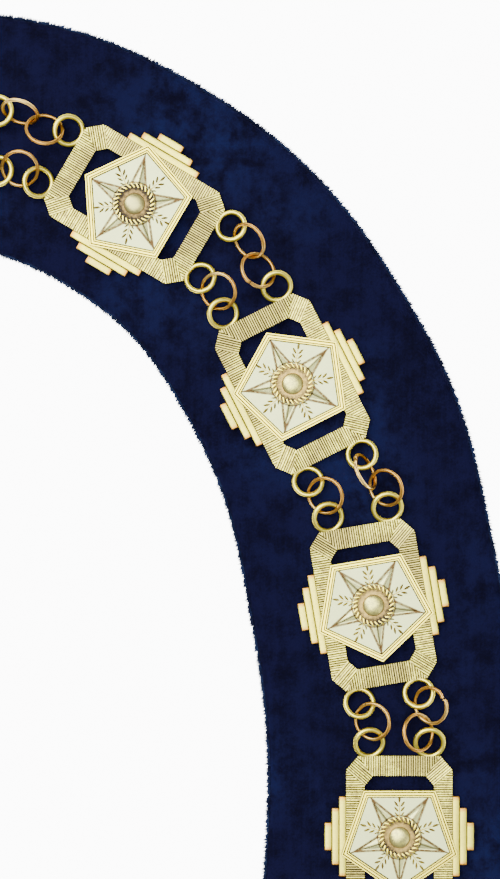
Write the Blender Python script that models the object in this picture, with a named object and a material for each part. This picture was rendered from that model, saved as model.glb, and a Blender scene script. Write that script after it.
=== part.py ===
"""An officer's chain collar: gold-tone plaques on a flat velvet band, joined by pairs of ring chains."""
import math

import bmesh
import bpy
from mathutils import Matrix, Vector

MM = 0.001

# Chain line. Headings are turned clockwise from +X, seen from above, and the left half mirrors the right
FRAME_LENGTH = 53.7 * MM
LINK_GAP = 25.0 * MM
CHAIN_PITCH = FRAME_LENGTH + LINK_GAP
CHAIN_TABLE = (
    # plaque heading, heading of the step to the next plaque, its length as a share of the pitch, vertex
    {"heading": 0.0, "step_heading": 15.3, "step": 1.009, "vertex": -1},
    {"heading": 30.5, "step_heading": 48.7, "step": 1.011, "vertex": -1},
    {"heading": 63.1, "step_heading": 69.9, "step": 0.995, "vertex": -1},
    {"heading": 80.4, "step_heading": 83.6, "step": 0.985, "vertex": 1},
    {"heading": 90.0, "step_heading": 100.0, "step": 1.0, "vertex": 1},
    {"heading": 110.0, "step_heading": 123.0, "step": 1.0, "vertex": 1},
    {"heading": 136.0, "step_heading": 151.5, "step": 1.0, "vertex": 1},
    {"heading": 164.0, "step_heading": 180.0, "step": 1.0, "vertex": 1},
)

# Velvet band, with its edges given at each plaque as shares of the full width
VELVET_WIDTH = 90.0 * MM
VELVET_THICKNESS = 3.0 * MM
VELVET_CURVE_STEPS = 2
VELVET_TABLE = (
    {"inner": 0.381, "outer": 0.508},
    {"inner": 0.392, "outer": 0.504},
    {"inner": 0.406, "outer": 0.533},
    {"inner": 0.459, "outer": 0.488},
    {"inner": 0.496, "outer": 0.496},
    {"inner": 0.496, "outer": 0.496},
    {"inner": 0.496, "outer": 0.496},
    {"inner": 0.496, "outer": 0.496},
)

# Plaque frame: an octagon with an octagonal hole
SEAT_GAP = 0.3 * MM
FRAME_WIDTH = 35.3 * MM
FRAME_CUT_LENGTH = 4.7 * MM
FRAME_CUT_WIDTH = 4.0 * MM
FRAME_THICKNESS = 2.0 * MM
BAND_AT_ENDS = 6.6 * MM
BAND_AT_SIDES = 6.1 * MM
HOLE_CUT_LENGTH = 3.3 * MM
HOLE_CUT_WIDTH = 2.8 * MM

# Stepped bars beside the long sides
BAR_WIDTH = 2.4 * MM
BAR_THICKNESS = 1.4 * MM
BAR_LENGTHS = (26.7 * MM, 19.0 * MM, 9.3 * MM)
BAR_TUCK = 1.0 * MM

# Five-sided plate soldered on the frame
PLATE_RADIUS = 20.4 * MM
PLATE_SQUASH = 0.94
PLATE_THICKNESS = 1.2 * MM
PLATE_SINK = 0.15 * MM
PLATE_RIM = 2.3 * MM
PLATE_FIELD_DROP = 0.4 * MM
STAR_RADIUS = 15.5 * MM
STAR_WAIST = 4.6 * MM
STAR_POINTS = 5
STAR_HEIGHT = 1.0 * MM
STAR_TOP_SHARE = 0.25
RELIEF_ROOT = 0.2 * MM

# Thick rings soldered under the frame's two ends
END_RING_RADIUS = 4.675 * MM
END_RING_WIRE = 1.75 * MM
END_RING_REACH = 4.6 * MM
END_RING_OFFSET = 10.0 * MM
END_RING_PITCH = 15.0
INNER_END_RING_ROLL = -8.0
END_RING_PHASE = 9.0
RING_SIDES = 10
WIRE_SIDES = 5
PATH_SAMPLES = 6
# A faceted ring's corners lie this much further out, so that its mean radius is the round ring's
CORNER_SPREAD = 2.0 / (1.0 + math.cos(math.pi / RING_SIDES))

# Loose rings: one on the inner side of each gap, and a hooked pair on the outer side
LOOSE_RING_RADIUS = 6.0 * MM
LOOSE_RING_WIRE = 1.2 * MM
INNER_ROLL = 26.0
INNER_SLIDE = 3.0 * MM
PAIR_BITE = 0.3 * MM
PAIR_TABLE = (
    # for each gap, the roll in degrees, and the slide and lift as shares of the loose ring's radius
    {"near": (60.0, 0.45, 0.17), "far": (-34.0, -0.40, 0.05)},
    {"near": (48.0, 0.42, 0.13), "far": (-34.0, -0.36, 0.06)},
    {"near": (-64.0, -0.62, 0.10), "far": (34.0, 0.46, 0.04)},
    {"near": (34.0, 0.58, 0.04), "far": (-36.0, -0.62, 0.04)},
    {"near": (46.0, 0.52, 0.08), "far": (-36.0, -0.50, 0.04)},
    {"near": (46.0, 0.46, 0.08), "far": (-34.0, -0.46, 0.04)},
    {"near": (46.0, 0.46, 0.08), "far": (-34.0, -0.46, 0.04)},
    {"near": (46.0, 0.44, 0.11), "far": (-34.0, -0.42, 0.04)},
)

# Faces that differ by less than this angle count as one flat area
FLAT_ANGLE = math.radians(0.05)
MERGE_DISTANCE = 0.0002 * MM

NAVY = (0.006, 0.008, 0.028, 1.0)
PALE_GOLD = (0.72, 0.62, 0.34, 1.0)
COPPER_GOLD = (0.62, 0.40, 0.18, 1.0)


def clear_scene():
    """Remove every object that the file already holds."""
    for old in list(bpy.data.objects):
        bpy.data.objects.remove(old, do_unlink=True)


def make_collection(name):
    """Return a new collection linked to the scene."""
    made = bpy.data.collections.new(name)
    bpy.context.scene.collection.children.link(made)
    return made


def make_material(name, colour, metallic, roughness):
    """Return a Principled material with one plain colour."""
    made = bpy.data.materials.new(name)
    made.use_nodes = True
    shader = made.node_tree.nodes["Principled BSDF"]
    shader.inputs["Base Color"].default_value = colour
    shader.inputs["Metallic"].default_value = metallic
    shader.inputs["Roughness"].default_value = roughness
    return made


def take_mesh(maker, flatten=False):
    """Return a maker's finished mesh, closed and facing out, with its flat areas joined where asked."""
    graph = bpy.context.evaluated_depsgraph_get()
    mesh = bpy.data.meshes.new_from_object(maker.evaluated_get(graph), depsgraph=graph)
    mesh.transform(maker.matrix_world)
    work = bmesh.new()
    work.from_mesh(mesh)
    bmesh.ops.remove_doubles(work, verts=work.verts, dist=MERGE_DISTANCE)
    if flatten:
        bmesh.ops.dissolve_limit(work, angle_limit=FLAT_ANGLE, verts=work.verts, edges=work.edges)
    bmesh.ops.recalc_face_normals(work, faces=work.faces)
    work.to_mesh(mesh)
    work.free()
    return mesh


def flat_plate(outlines, thickness, base):
    """Return the mesh of a flat plate from closed outlines of (x, y) points, standing on the height base."""
    curve = bpy.data.curves.new("outline", "CURVE")
    curve.dimensions = "2D"
    curve.fill_mode = "BOTH"
    curve.extrude = thickness / 2
    for outline in outlines:
        spline = curve.splines.new("POLY")
        spline.points.add(len(outline) - 1)
        for point, (x, y) in zip(spline.points, outline):
            point.co = (x, y, 0.0, 1.0)
        spline.use_cyclic_u = True
    maker = bpy.data.objects.new("outline", curve)
    bpy.context.scene.collection.objects.link(maker)
    maker.location.z = base + thickness / 2
    bpy.context.view_layer.update()
    mesh = take_mesh(maker, flatten=True)
    bpy.data.objects.remove(maker, do_unlink=True)
    return mesh


def octagon(length, width, cut_length, cut_width):
    """Return the eight corners of a rectangle with its corners cut off."""
    a = length / 2
    b = width / 2
    return (
        (a, b - cut_width), (a - cut_length, b), (cut_length - a, b), (-a, b - cut_width),
        (-a, cut_width - b), (cut_length - a, -b), (a - cut_length, -b), (a, cut_width - b),
    )


def bar_steps():
    """Return the outline of the outer side's stepped bars, whose root is tucked into the frame."""
    root = FRAME_WIDTH / 2 - BAR_TUCK
    edge = FRAME_WIDTH / 2
    going_out = [(BAR_LENGTHS[0] / 2, root)]
    for number, length in enumerate(BAR_LENGTHS):
        low = root if number == 0 else edge + number * BAR_WIDTH
        if number:
            going_out.append((length / 2, low))
        going_out.append((length / 2, edge + (number + 1) * BAR_WIDTH))
    coming_back = [(-x, y) for x, y in reversed(going_out)]
    return going_out + coming_back


def bars_mesh(side):
    """Return one side's stepped bars, level with the middle of the frame; side is 1 outside and -1 inside."""
    bars = flat_plate((bar_steps(),), BAR_THICKNESS, (FRAME_THICKNESS - BAR_THICKNESS) / 2)
    if side < 0:
        bars.transform(Matrix.Rotation(math.pi, 4, "Z"))
    return bars


def torus_mesh(radius, wire, basis, centre):
    """Return the mesh of a faceted ring that lies in the first two directions of basis."""
    bpy.ops.mesh.primitive_torus_add(major_segments=RING_SIDES, minor_segments=WIRE_SIDES,
                                     major_radius=radius * CORNER_SPREAD, minor_radius=wire / 2)
    maker = bpy.context.object
    across = basis[0].cross(basis[1])
    turn = Matrix((basis[0], basis[1], across)).transposed().to_4x4()
    maker.matrix_world = Matrix.Translation(centre) @ turn
    bpy.context.view_layer.update()
    mesh = take_mesh(maker)
    bpy.data.objects.remove(maker, do_unlink=True)
    return mesh


def unite(name, meshes, flatten=False):
    """Return one mesh that joins all the given meshes in a Boolean union."""
    body = bpy.data.objects.new(name, meshes[0])
    bpy.context.scene.collection.objects.link(body)
    helpers = []
    for number, mesh in enumerate(meshes[1:]):
        helper = bpy.data.objects.new(name + "_tool_%d" % number, mesh)
        bpy.context.scene.collection.objects.link(helper)
        helpers.append(helper)
        joint = body.modifiers.new("join_%d" % number, "BOOLEAN")
        joint.operation = "UNION"
        joint.solver = "EXACT"
        joint.object = helper
    bpy.context.view_layer.update()
    joined = take_mesh(body, flatten)
    joined.name = name
    for used in [body] + helpers:
        bpy.data.objects.remove(used, do_unlink=True)
    return joined


def plate_mesh(vertex):
    """Return the five-sided plate with its raised rim, whose vertex points along vertex times +X."""
    bpy.ops.mesh.primitive_cylinder_add(vertices=5, radius=PLATE_RADIUS, depth=PLATE_THICKNESS)
    maker = bpy.context.object
    work = bmesh.new()
    work.from_mesh(maker.data)
    top = [face for face in work.faces if face.normal.z > 0.9]
    bmesh.ops.inset_region(work, faces=top, thickness=PLATE_RIM, depth=0.0)
    field = [face for face in work.faces if face.normal.z > 0.9 and len(face.verts) == 5]
    bmesh.ops.inset_region(work, faces=field, thickness=PLATE_FIELD_DROP, depth=-PLATE_FIELD_DROP)
    aim = Matrix.Rotation(-vertex * math.pi / 2, 4, "Z")
    bmesh.ops.transform(work, matrix=aim, verts=work.verts)
    rise = FRAME_THICKNESS - PLATE_SINK + PLATE_THICKNESS / 2
    for vert in work.verts:
        vert.co.x *= PLATE_SQUASH
        vert.co.z += rise
    work.to_mesh(maker.data)
    work.free()
    mesh = take_mesh(maker)
    bpy.data.objects.remove(maker, do_unlink=True)
    return mesh


def field_height():
    """Return the height of the plate's sunken field above the plaque's underside."""
    return FRAME_THICKNESS - PLATE_SINK + PLATE_THICKNESS - PLATE_FIELD_DROP


def star_mesh(vertex):
    """Return a five-pointed star with bevelled rays and a small flat top, rooted in the field."""
    work = bmesh.new()
    height = STAR_HEIGHT + RELIEF_ROOT
    bmesh.ops.create_cone(work, cap_ends=True, segments=2 * STAR_POINTS, radius1=STAR_RADIUS,
                          radius2=STAR_RADIUS * STAR_TOP_SHARE, depth=height)
    half_point = math.pi / STAR_POINTS
    for vert in work.verts:
        turn = round(math.atan2(vert.co.y, vert.co.x) / half_point - 0.5)
        reach = STAR_RADIUS if turn % 2 == 0 else STAR_WAIST
        if vert.co.z > 0.0:
            reach *= STAR_TOP_SHARE
        vert.co.x = vertex * reach * math.cos(half_point * turn) * PLATE_SQUASH
        vert.co.y = vertex * reach * math.sin(half_point * turn)
        vert.co.z += field_height() - RELIEF_ROOT + height / 2
    mesh = bpy.data.meshes.new("star")
    work.to_mesh(mesh)
    work.free()
    return mesh


def end_ring_pose(end, side):
    """Return the centre and the in-plane directions of a soldered ring, in the plaque's own frame.

    end is 1 at the plaque's leading end and -1 at its trailing end; side is 1 outside and -1 inside."""
    pitch = math.radians(END_RING_PITCH)
    roll = math.radians(INNER_END_RING_ROLL if side < 0 else 0.0)
    forward = Vector((end * math.cos(pitch), 0.0, math.sin(pitch)))
    sideways = Vector((0.0, math.cos(roll), math.sin(roll)))
    root = Vector((end * FRAME_LENGTH / 2, side * END_RING_OFFSET, FRAME_THICKNESS / 2))
    return root + forward * END_RING_REACH, forward, sideways


def end_ring_mesh(end, side):
    """Return the mesh of one soldered ring, turned in its plane to meet the frame between corners."""
    centre, forward, sideways = end_ring_pose(end, side)
    square = (sideways - forward * sideways.dot(forward)).normalized()
    turn = Matrix.Rotation(math.radians(END_RING_PHASE), 3, forward.cross(square))
    return torus_mesh(END_RING_RADIUS, END_RING_WIRE, (turn @ forward, turn @ square), centre)


def plaque_mesh(vertex):
    """Return one whole plaque as a single soldered solid, in its own frame."""
    rim = octagon(FRAME_LENGTH, FRAME_WIDTH, FRAME_CUT_LENGTH, FRAME_CUT_WIDTH)
    hole = octagon(FRAME_LENGTH - 2 * BAND_AT_ENDS, FRAME_WIDTH - 2 * BAND_AT_SIDES,
                   HOLE_CUT_LENGTH, HOLE_CUT_WIDTH)
    frame = flat_plate((rim, hole), FRAME_THICKNESS, 0.0)
    bars = [bars_mesh(side) for side in (1, -1)]
    relief = [plate_mesh(vertex), star_mesh(vertex)]
    rings = [end_ring_mesh(end, side) for end in (1, -1) for side in (1, -1)]
    plates = unite("plates", [frame] + bars + relief, flatten=True)
    return unite("plaque_body", [plates] + rings)


def heading_vectors(heading):
    """Return the forward and outward directions of a clockwise heading."""
    turn = math.radians(heading)
    return Vector((math.cos(turn), -math.sin(turn), 0.0)), Vector((math.sin(turn), math.cos(turn), 0.0))


def right_half_places():
    """Return the plaque centres of the right half, from the top centre to the front, before centring."""
    place = Vector((0.0, 0.0, 0.0))
    places = []
    for row in CHAIN_TABLE:
        places.append(place.copy())
        step, _ = heading_vectors(row["step_heading"])
        place = place + step * row["step"] * CHAIN_PITCH
    return places


def mirrored(point):
    """Return a point or direction mirrored left to right."""
    return Vector((-point.x, point.y, point.z))


def smooth_edge(side):
    """Return the closed edge of the band through its offset points; side is 1 outside and -1 inside."""
    right = []
    for row, widths, place in zip(CHAIN_TABLE, VELVET_TABLE, right_half_places()):
        _, outward = heading_vectors(row["heading"])
        share = widths["outer"] if side > 0 else widths["inner"]
        right.append(place + outward * side * share * VELVET_WIDTH)
    left = [mirrored(point) for point in reversed(right[1:])]
    curve = bpy.data.curves.new("edge", "CURVE")
    curve.dimensions = "2D"
    curve.fill_mode = "NONE"
    curve.resolution_u = VELVET_CURVE_STEPS
    spline = curve.splines.new("BEZIER")
    spline.bezier_points.add(len(right) + len(left) - 1)
    for knot, point in zip(spline.bezier_points, right + left):
        knot.co = point
        knot.handle_left_type = "AUTO"
        knot.handle_right_type = "AUTO"
    spline.use_cyclic_u = True
    maker = bpy.data.objects.new("edge", curve)
    bpy.context.scene.collection.objects.link(maker)
    bpy.context.view_layer.update()
    mesh = maker.to_mesh()
    edge = [(vert.co.x, vert.co.y) for vert in mesh.vertices]
    bpy.data.objects.remove(maker, do_unlink=True)
    return edge


def ring_path(centre, basis, radius):
    """Return points along a faceted ring's middle line."""
    corners = []
    for number in range(RING_SIDES):
        turn = 2 * math.pi * number / RING_SIDES
        spoke = math.cos(turn) * basis[0] + math.sin(turn) * basis[1]
        corners.append(centre + radius * CORNER_SPREAD * spoke)
    path = []
    for number, corner in enumerate(corners):
        follow = corners[(number + 1) % RING_SIDES]
        path += [corner.lerp(follow, share / PATH_SAMPLES) for share in range(PATH_SAMPLES)]
    return path


def nearest(path_a, path_b):
    """Return the least distance between the points of two paths."""
    return min((a - b).length for a in path_a for b in path_b)


def loose_pose(origin, along, outward, reach, slide, roll, lift):
    """Return a loose ring's centre and in-plane directions, rolled about the line between two end rings."""
    turn = math.radians(roll)
    sideways = outward * math.cos(turn) + Vector((0.0, 0.0, math.sin(turn)))
    centre = origin + along * reach + sideways * slide + Vector((0.0, 0.0, lift))
    return centre, (along, sideways)


def gap_line(index, side, places):
    """Return the middle, direction, outward direction and length between the end rings across a gap."""
    first = CHAIN_TABLE[index]
    ends = []
    last = index + 1 == len(CHAIN_TABLE)
    second_heading = 360.0 - first["heading"] if last else CHAIN_TABLE[index + 1]["heading"]
    second_place = mirrored(places[index]) if last else places[index + 1]
    for place, heading, end in ((places[index], first["heading"], 1), (second_place, second_heading, -1)):
        centre, _, _ = end_ring_pose(end, side)
        forward, outward = heading_vectors(heading)
        ends.append(place + forward * centre.x + outward * centre.y + Vector((0.0, 0.0, centre.z)))
    span = ends[1] - ends[0]
    along = span.normalized()
    return (ends[0] + ends[1]) / 2, along, Vector((-along.y, along.x, 0.0)), span.length


def pair_poses(index, places):
    """Return the poses of the two hooked rings of a gap, which meet where their wires just bite."""
    rows = [PAIR_TABLE[index][name] for name in ("near", "far")]
    middle, along, outward, length = gap_line(index, 1, places)
    halves = [LOOSE_RING_RADIUS * math.sqrt(1.0 - slide ** 2) for _, slide, _ in rows]
    low = 0.0
    high = LOOSE_RING_RADIUS / 2
    for _ in range(24):
        hook = (low + high) / 2
        tuck = (length - 2 * halves[0] - 2 * halves[1] + hook) / 2
        reaches = (-length / 2 + tuck + halves[0], length / 2 - tuck - halves[1])
        poses = [loose_pose(middle, along, outward, reach, slide * LOOSE_RING_RADIUS, roll,
                            lift * LOOSE_RING_RADIUS)
                 for reach, (roll, slide, lift) in zip(reaches, rows)]
        paths = [ring_path(centre, basis, LOOSE_RING_RADIUS) for centre, basis in poses]
        if nearest(*paths) < LOOSE_RING_WIRE - PAIR_BITE:
            low = hook
        else:
            high = hook
    return poses


def place_node(name, mesh, material, collection, location, turn=0.0):
    """Link one finished object to the collection."""
    made = bpy.data.objects.new(name, mesh)
    if not mesh.materials:
        mesh.materials.append(material)
    made.location = location
    made.rotation_euler = (0.0, 0.0, turn)
    collection.objects.link(made)
    return made


def loose_mesh(poses, mirror):
    """Return the mesh of one or two loose rings, mirrored to the left half where asked."""
    meshes = []
    for centre, basis in poses:
        if mirror:
            centre = mirrored(centre)
            basis = tuple(mirrored(direction) for direction in basis)
        meshes.append(torus_mesh(LOOSE_RING_RADIUS, LOOSE_RING_WIRE, basis, centre))
    return meshes[0] if len(meshes) == 1 else unite("pair", meshes)


def build():
    """Build the whole collar."""
    clear_scene()
    parts = make_collection("chain_collar")
    velvet = make_material("velvet", NAVY, 0.0, 0.95)
    gold = make_material("gold", PALE_GOLD, 1.0, 0.35)
    copper = make_material("copper", COPPER_GOLD, 1.0, 0.3)

    outer = smooth_edge(1)
    inner = smooth_edge(-1)
    heights = [y for _, y in outer]
    shift = Vector((0.0, -(max(heights) + min(heights)) / 2, 0.0))
    band = flat_plate((outer, inner), VELVET_THICKNESS, 0.0)
    place_node("velvet_band", band, velvet, parts, shift)

    seat = shift + Vector((0.0, 0.0, VELVET_THICKNESS + SEAT_GAP))
    bodies = {vertex: plaque_mesh(vertex) for vertex in (1, -1)}
    places = right_half_places()
    count = len(places)
    for index, (row, place) in enumerate(zip(CHAIN_TABLE, places)):
        number = index + 1
        turn = -math.radians(row["heading"])
        place_node("plaque_%02d" % number, bodies[row["vertex"]], gold, parts, seat + place, turn)
        if index:
            number = 2 * count - index
            place_node("plaque_%02d" % number, bodies[-row["vertex"]], gold, parts,
                       seat + mirrored(place), -turn)

    for index in range(count):
        middle, along, outward, _ = gap_line(index, -1, places)
        single = [loose_pose(middle, along, outward, 0.0, INNER_SLIDE, INNER_ROLL, 0.0)]
        pair = pair_poses(index, places)
        for label, poses in (("inner_ring", single), ("outer_ring_pair", pair)):
            name = "%s_%02d" % (label, index + 1)
            place_node(name, loose_mesh(poses, False), copper, parts, seat)
            if index + 1 < count:
                name = "%s_%02d" % (label, 2 * count - 1 - index)
                place_node(name, loose_mesh(poses, True), copper, parts, seat)


build()
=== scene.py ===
"""Looks for a ceremonial chain collar: velvet band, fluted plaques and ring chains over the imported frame."""
import logging
import math
import random
from dataclasses import dataclass, field, replace
from enum import Enum
from typing import Callable, Sequence

import bmesh
import bpy
import numpy as np
from mathutils import Matrix, Vector, noise


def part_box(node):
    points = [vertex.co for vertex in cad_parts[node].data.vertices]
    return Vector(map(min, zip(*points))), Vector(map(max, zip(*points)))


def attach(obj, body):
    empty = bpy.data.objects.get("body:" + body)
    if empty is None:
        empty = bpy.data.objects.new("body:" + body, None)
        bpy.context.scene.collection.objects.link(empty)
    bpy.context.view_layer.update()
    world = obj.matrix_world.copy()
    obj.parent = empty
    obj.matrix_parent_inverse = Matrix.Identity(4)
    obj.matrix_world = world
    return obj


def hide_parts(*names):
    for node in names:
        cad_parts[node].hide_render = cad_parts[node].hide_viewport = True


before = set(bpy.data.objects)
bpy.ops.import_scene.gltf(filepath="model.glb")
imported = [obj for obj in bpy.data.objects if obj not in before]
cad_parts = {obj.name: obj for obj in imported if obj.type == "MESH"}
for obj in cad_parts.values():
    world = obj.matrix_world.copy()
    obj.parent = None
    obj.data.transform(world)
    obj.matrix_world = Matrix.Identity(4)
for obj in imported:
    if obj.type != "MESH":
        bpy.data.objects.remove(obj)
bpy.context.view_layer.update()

MM = 0.001
ROOT = "root"
PAINT = "paint"
LIE = "lie"
LOG = logging.getLogger("collar")
Piece = bpy.types.Object
Paint = Callable[[Vector, Vector], tuple[float, float, float]]


class Side(Enum):
    """The two sides of the chain: towards the neck and away from it."""

    INNER = -1
    OUTER = 1


class Slot(Enum):
    """The material slots."""

    VELVET = "velvet"
    GOLD = "gold"
    COPPER = "copper"


@dataclass(frozen=True)
class Station:
    """A plaque's heading, the step to the next plaque, where its plate points and the band's edges there."""

    heading: float
    step_heading: float
    step_share: float
    facing: int
    inner_share: float
    outer_share: float


@dataclass(frozen=True)
class Lie:
    """How a loose ring lies: its roll in degrees, and its slide and lift as shares of its radius."""

    roll: float
    slide: float
    lift: float


@dataclass(frozen=True)
class Split:
    """Where a ring's ends meet, how wide they stand apart and how far one end is pushed aside."""

    angle: float = 205.0
    opening: float = 2.0
    offset: float = 0.0


@dataclass(frozen=True)
class Pose:
    """A ring's centre and the two directions of its plane."""

    centre: Vector
    along: Vector
    sideways: Vector

    def matrix(self) -> Matrix:
        """Stand a ring that lies on XY in this pose.

        Returns:
            The transform.
        """
        across = self.along.cross(self.sideways)
        turn = Matrix((self.along, self.sideways, across)).transposed().to_4x4()
        return Matrix.Translation(self.centre) @ turn

    def mirrored(self) -> "Pose":
        """Return this pose mirrored left to right."""
        return Pose(mirrored(self.centre), mirrored(self.along), mirrored(self.sideways))


def mirrored(point: Vector) -> Vector:
    """Return a point or direction mirrored left to right."""
    return Vector((-point.x, point.y, point.z))


def heading_vectors(heading: float) -> tuple[Vector, Vector]:
    """Return the forward and outward directions of a heading in degrees clockwise from +X."""
    turn = math.radians(heading)
    return Vector((math.cos(turn), -math.sin(turn), 0.0)), Vector((math.sin(turn), math.cos(turn), 0.0))


def turned(place: Vector, turn: float) -> Matrix:
    """Return the transform that turns a shape about Z by some radians and then carries it to a place."""
    return Matrix.Translation(place) @ Matrix.Rotation(turn, 4, "Z")


class Bench:
    """The workbench: picks, shapes and finishes one mesh at a time with Blender's own tools."""

    @staticmethod
    def clear() -> None:
        """Leave edit mode and deselect every object."""
        if bpy.context.object and bpy.context.object.mode != "OBJECT":
            bpy.ops.object.mode_set(mode="OBJECT")
        bpy.ops.object.select_all(action="DESELECT")

    @staticmethod
    def start(add: Callable, name: str, scale: tuple = (1.0, 1.0, 1.0), **settings: object) -> Piece:
        """Add a primitive and open it in edit mode with everything selected.

        Args:
            add: The operator that adds it.
            name: The object's name.
            scale: How far it is stretched along each axis.
            settings: The operator's own settings.

        Returns:
            The new object.
        """
        Bench.clear()
        add(**settings)
        made = bpy.context.object
        made.name = name
        made.scale = scale
        bpy.ops.object.transform_apply(location=True, rotation=True, scale=True)
        bpy.ops.object.mode_set(mode="EDIT")
        bpy.ops.mesh.select_all(action="SELECT")
        return made

    @staticmethod
    def link(name: str, data: bpy.types.ID) -> Piece:
        """Put data into the scene as a new object.

        Args:
            name: The object's name.
            data: Its mesh or curve.

        Returns:
            The object, at the origin.
        """
        made = bpy.data.objects.new(name, data)
        bpy.context.scene.collection.objects.link(made)
        return made

    @staticmethod
    def weave(name: str, points: Sequence[tuple], faces: Sequence[tuple]) -> Piece:
        """Make a mesh of points and faces.

        Args:
            name: The object's name.
            points: The vertices' places.
            faces: The vertex numbers of each face.

        Returns:
            The new object.
        """
        mesh = bpy.data.meshes.new(name)
        mesh.from_pydata(points, [], faces)
        return Bench.link(name, mesh)

    @staticmethod
    def stretch(x: float = 1.0, y: float = 1.0, z: float = 1.0, about: tuple = (0.0, 0.0, 0.0)) -> None:
        """Stretch what is selected about a point."""
        bpy.ops.transform.resize(value=(x, y, z), center_override=about)

    @staticmethod
    def cut(place: Sequence[float], normal: Sequence[float], **settings: bool) -> None:
        """Cut the whole mesh along a plane."""
        bpy.ops.mesh.select_all(action="SELECT")
        bpy.ops.mesh.bisect(plane_co=place, plane_no=normal, **settings)

    @staticmethod
    def pick_faces(made: Piece, test: Callable[[Vector, Vector], bool]) -> None:
        """Select the faces that pass a test of their place and normal.

        Args:
            made: The object in edit mode.
            test: Takes a face's middle and normal.
        """
        bpy.ops.mesh.select_mode(type="FACE")
        bpy.ops.mesh.select_all(action="DESELECT")
        work = bmesh.from_edit_mesh(made.data)
        for face in work.faces:
            face.select_set(test(face.calc_center_median(), face.normal))
        bmesh.update_edit_mesh(made.data)

    @staticmethod
    def pick_points(made: Piece, test: Callable[[Vector], bool]) -> None:
        """Select the vertices that pass a test of their place.

        Args:
            made: The object in edit mode.
            test: Takes a vertex's place.
        """
        bpy.ops.mesh.select_mode(type="VERT")
        bpy.ops.mesh.select_all(action="DESELECT")
        work = bmesh.from_edit_mesh(made.data)
        for point in work.verts:
            point.select_set(test(point.co))
        work.select_flush(True)
        bmesh.update_edit_mesh(made.data)

    @staticmethod
    def finish(made: Piece, smooth_angle: float = 35.0, rule: Paint | None = None,
               place: Matrix | None = None) -> Piece:
        """Turn the faces outwards, leave edit mode, smooth the soft edges, then place and paint the mesh.

        Args:
            made: The object in edit mode.
            smooth_angle: Edges that bend more than this many degrees stay crisp.
            rule: Takes a corner's place and its face's normal, and gives how dark, coppery and matt it is.
            place: The transform that is put into the mesh.

        Returns:
            The same object.
        """
        bpy.ops.mesh.select_all(action="SELECT")
        bpy.ops.mesh.normals_make_consistent(inside=False)
        bpy.ops.object.mode_set(mode="OBJECT")
        bpy.ops.object.shade_smooth_by_angle(angle=math.radians(smooth_angle))
        mesh = made.data
        if place is not None:
            mesh.transform(place)
        if rule is not None:
            shares = []
            for face in mesh.polygons:
                for loop in face.loop_indices:
                    shares += (*rule(mesh.vertices[mesh.loops[loop].vertex_index].co, face.normal), 1.0)
            mesh.attributes.new(PAINT, "FLOAT_COLOR", "CORNER").data.foreach_set("color", shares)
        return made

    @staticmethod
    def lay_map(made: Piece, facing: int, size: float) -> None:
        """Give the mesh a map of its own lengthwise and crosswise places.

        Args:
            made: The object, in its own frame.
            facing: 1 or -1, turning the map half round with the plate.
            size: How many millimetres the map is wide.
        """
        mesh = made.data
        spots = []
        for loop in mesh.loops:
            place = mesh.vertices[loop.vertex_index].co * facing / (size * MM)
            spots += (place.x + 0.5, place.y + 0.5)
        mesh.uv_layers.new(name=LIE).data.foreach_set("uv", spots)

    @staticmethod
    def join(made: Sequence[Piece], name: str) -> Piece:
        """Join several objects into the first one.

        Args:
            made: The objects.
            name: The joined object's name.

        Returns:
            The joined object.
        """
        Bench.clear()
        for one in made:
            one.select_set(True)
        bpy.context.view_layer.objects.active = made[0]
        bpy.ops.object.join()
        made[0].name = name
        return made[0]

    @staticmethod
    def copy(master: Piece, name: str, place: Matrix) -> Piece:
        """Copy a master with a mesh of its own.

        Args:
            master: The object to copy.
            name: The copy's name.
            place: The transform that is put into the copy's mesh.

        Returns:
            The copy, whose object stays at the origin.
        """
        mesh = master.data.copy()
        mesh.name = name
        mesh.transform(place)
        return Bench.link(name, mesh)

    @staticmethod
    def discard(made: Piece) -> None:
        """Remove an object that has served its turn."""
        bpy.data.objects.remove(made, do_unlink=True)


class Wire:
    """A shader socket that takes part in Python expressions."""

    def __init__(self, shop: "NodeShop", socket: bpy.types.NodeSocket) -> None:
        """Wrap one output socket of a shop's node."""
        self.shop = shop
        self.socket = socket

    def math(self, operation: str, other: "Wire | float" = 0.0) -> "Wire":
        """Return a Math node's result on this value and another."""
        return self.shop.wire("ShaderNodeMath", {"operation": operation}, {0: self, 1: other})

    def __add__(self, other: "Wire | float") -> "Wire":
        """Return the sum."""
        return self.math("ADD", other)

    def __sub__(self, other: "Wire | float") -> "Wire":
        """Return the difference."""
        return self.math("SUBTRACT", other)

    def __rsub__(self, other: float) -> "Wire":
        """Return a number less this value."""
        return self.shop.wire("ShaderNodeMath", {"operation": "SUBTRACT"}, {0: other, 1: self})

    def __mul__(self, other: "Wire | float") -> "Wire":
        """Return the product."""
        return self.math("MULTIPLY", other)

    def __pow__(self, other: float) -> "Wire":
        """Return this value raised to a power."""
        return self.math("POWER", other)

    __radd__ = __add__
    __rmul__ = __mul__

    def between(self, low: float, high: float) -> "Wire":
        """Return 0 below low, 1 above high and a soft step between them."""
        return self.shop.wire("ShaderNodeMapRange", {"interpolation_type": "SMOOTHSTEP"},
                              {"Value": self, "From Min": low, "From Max": high}, "Result")


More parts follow.
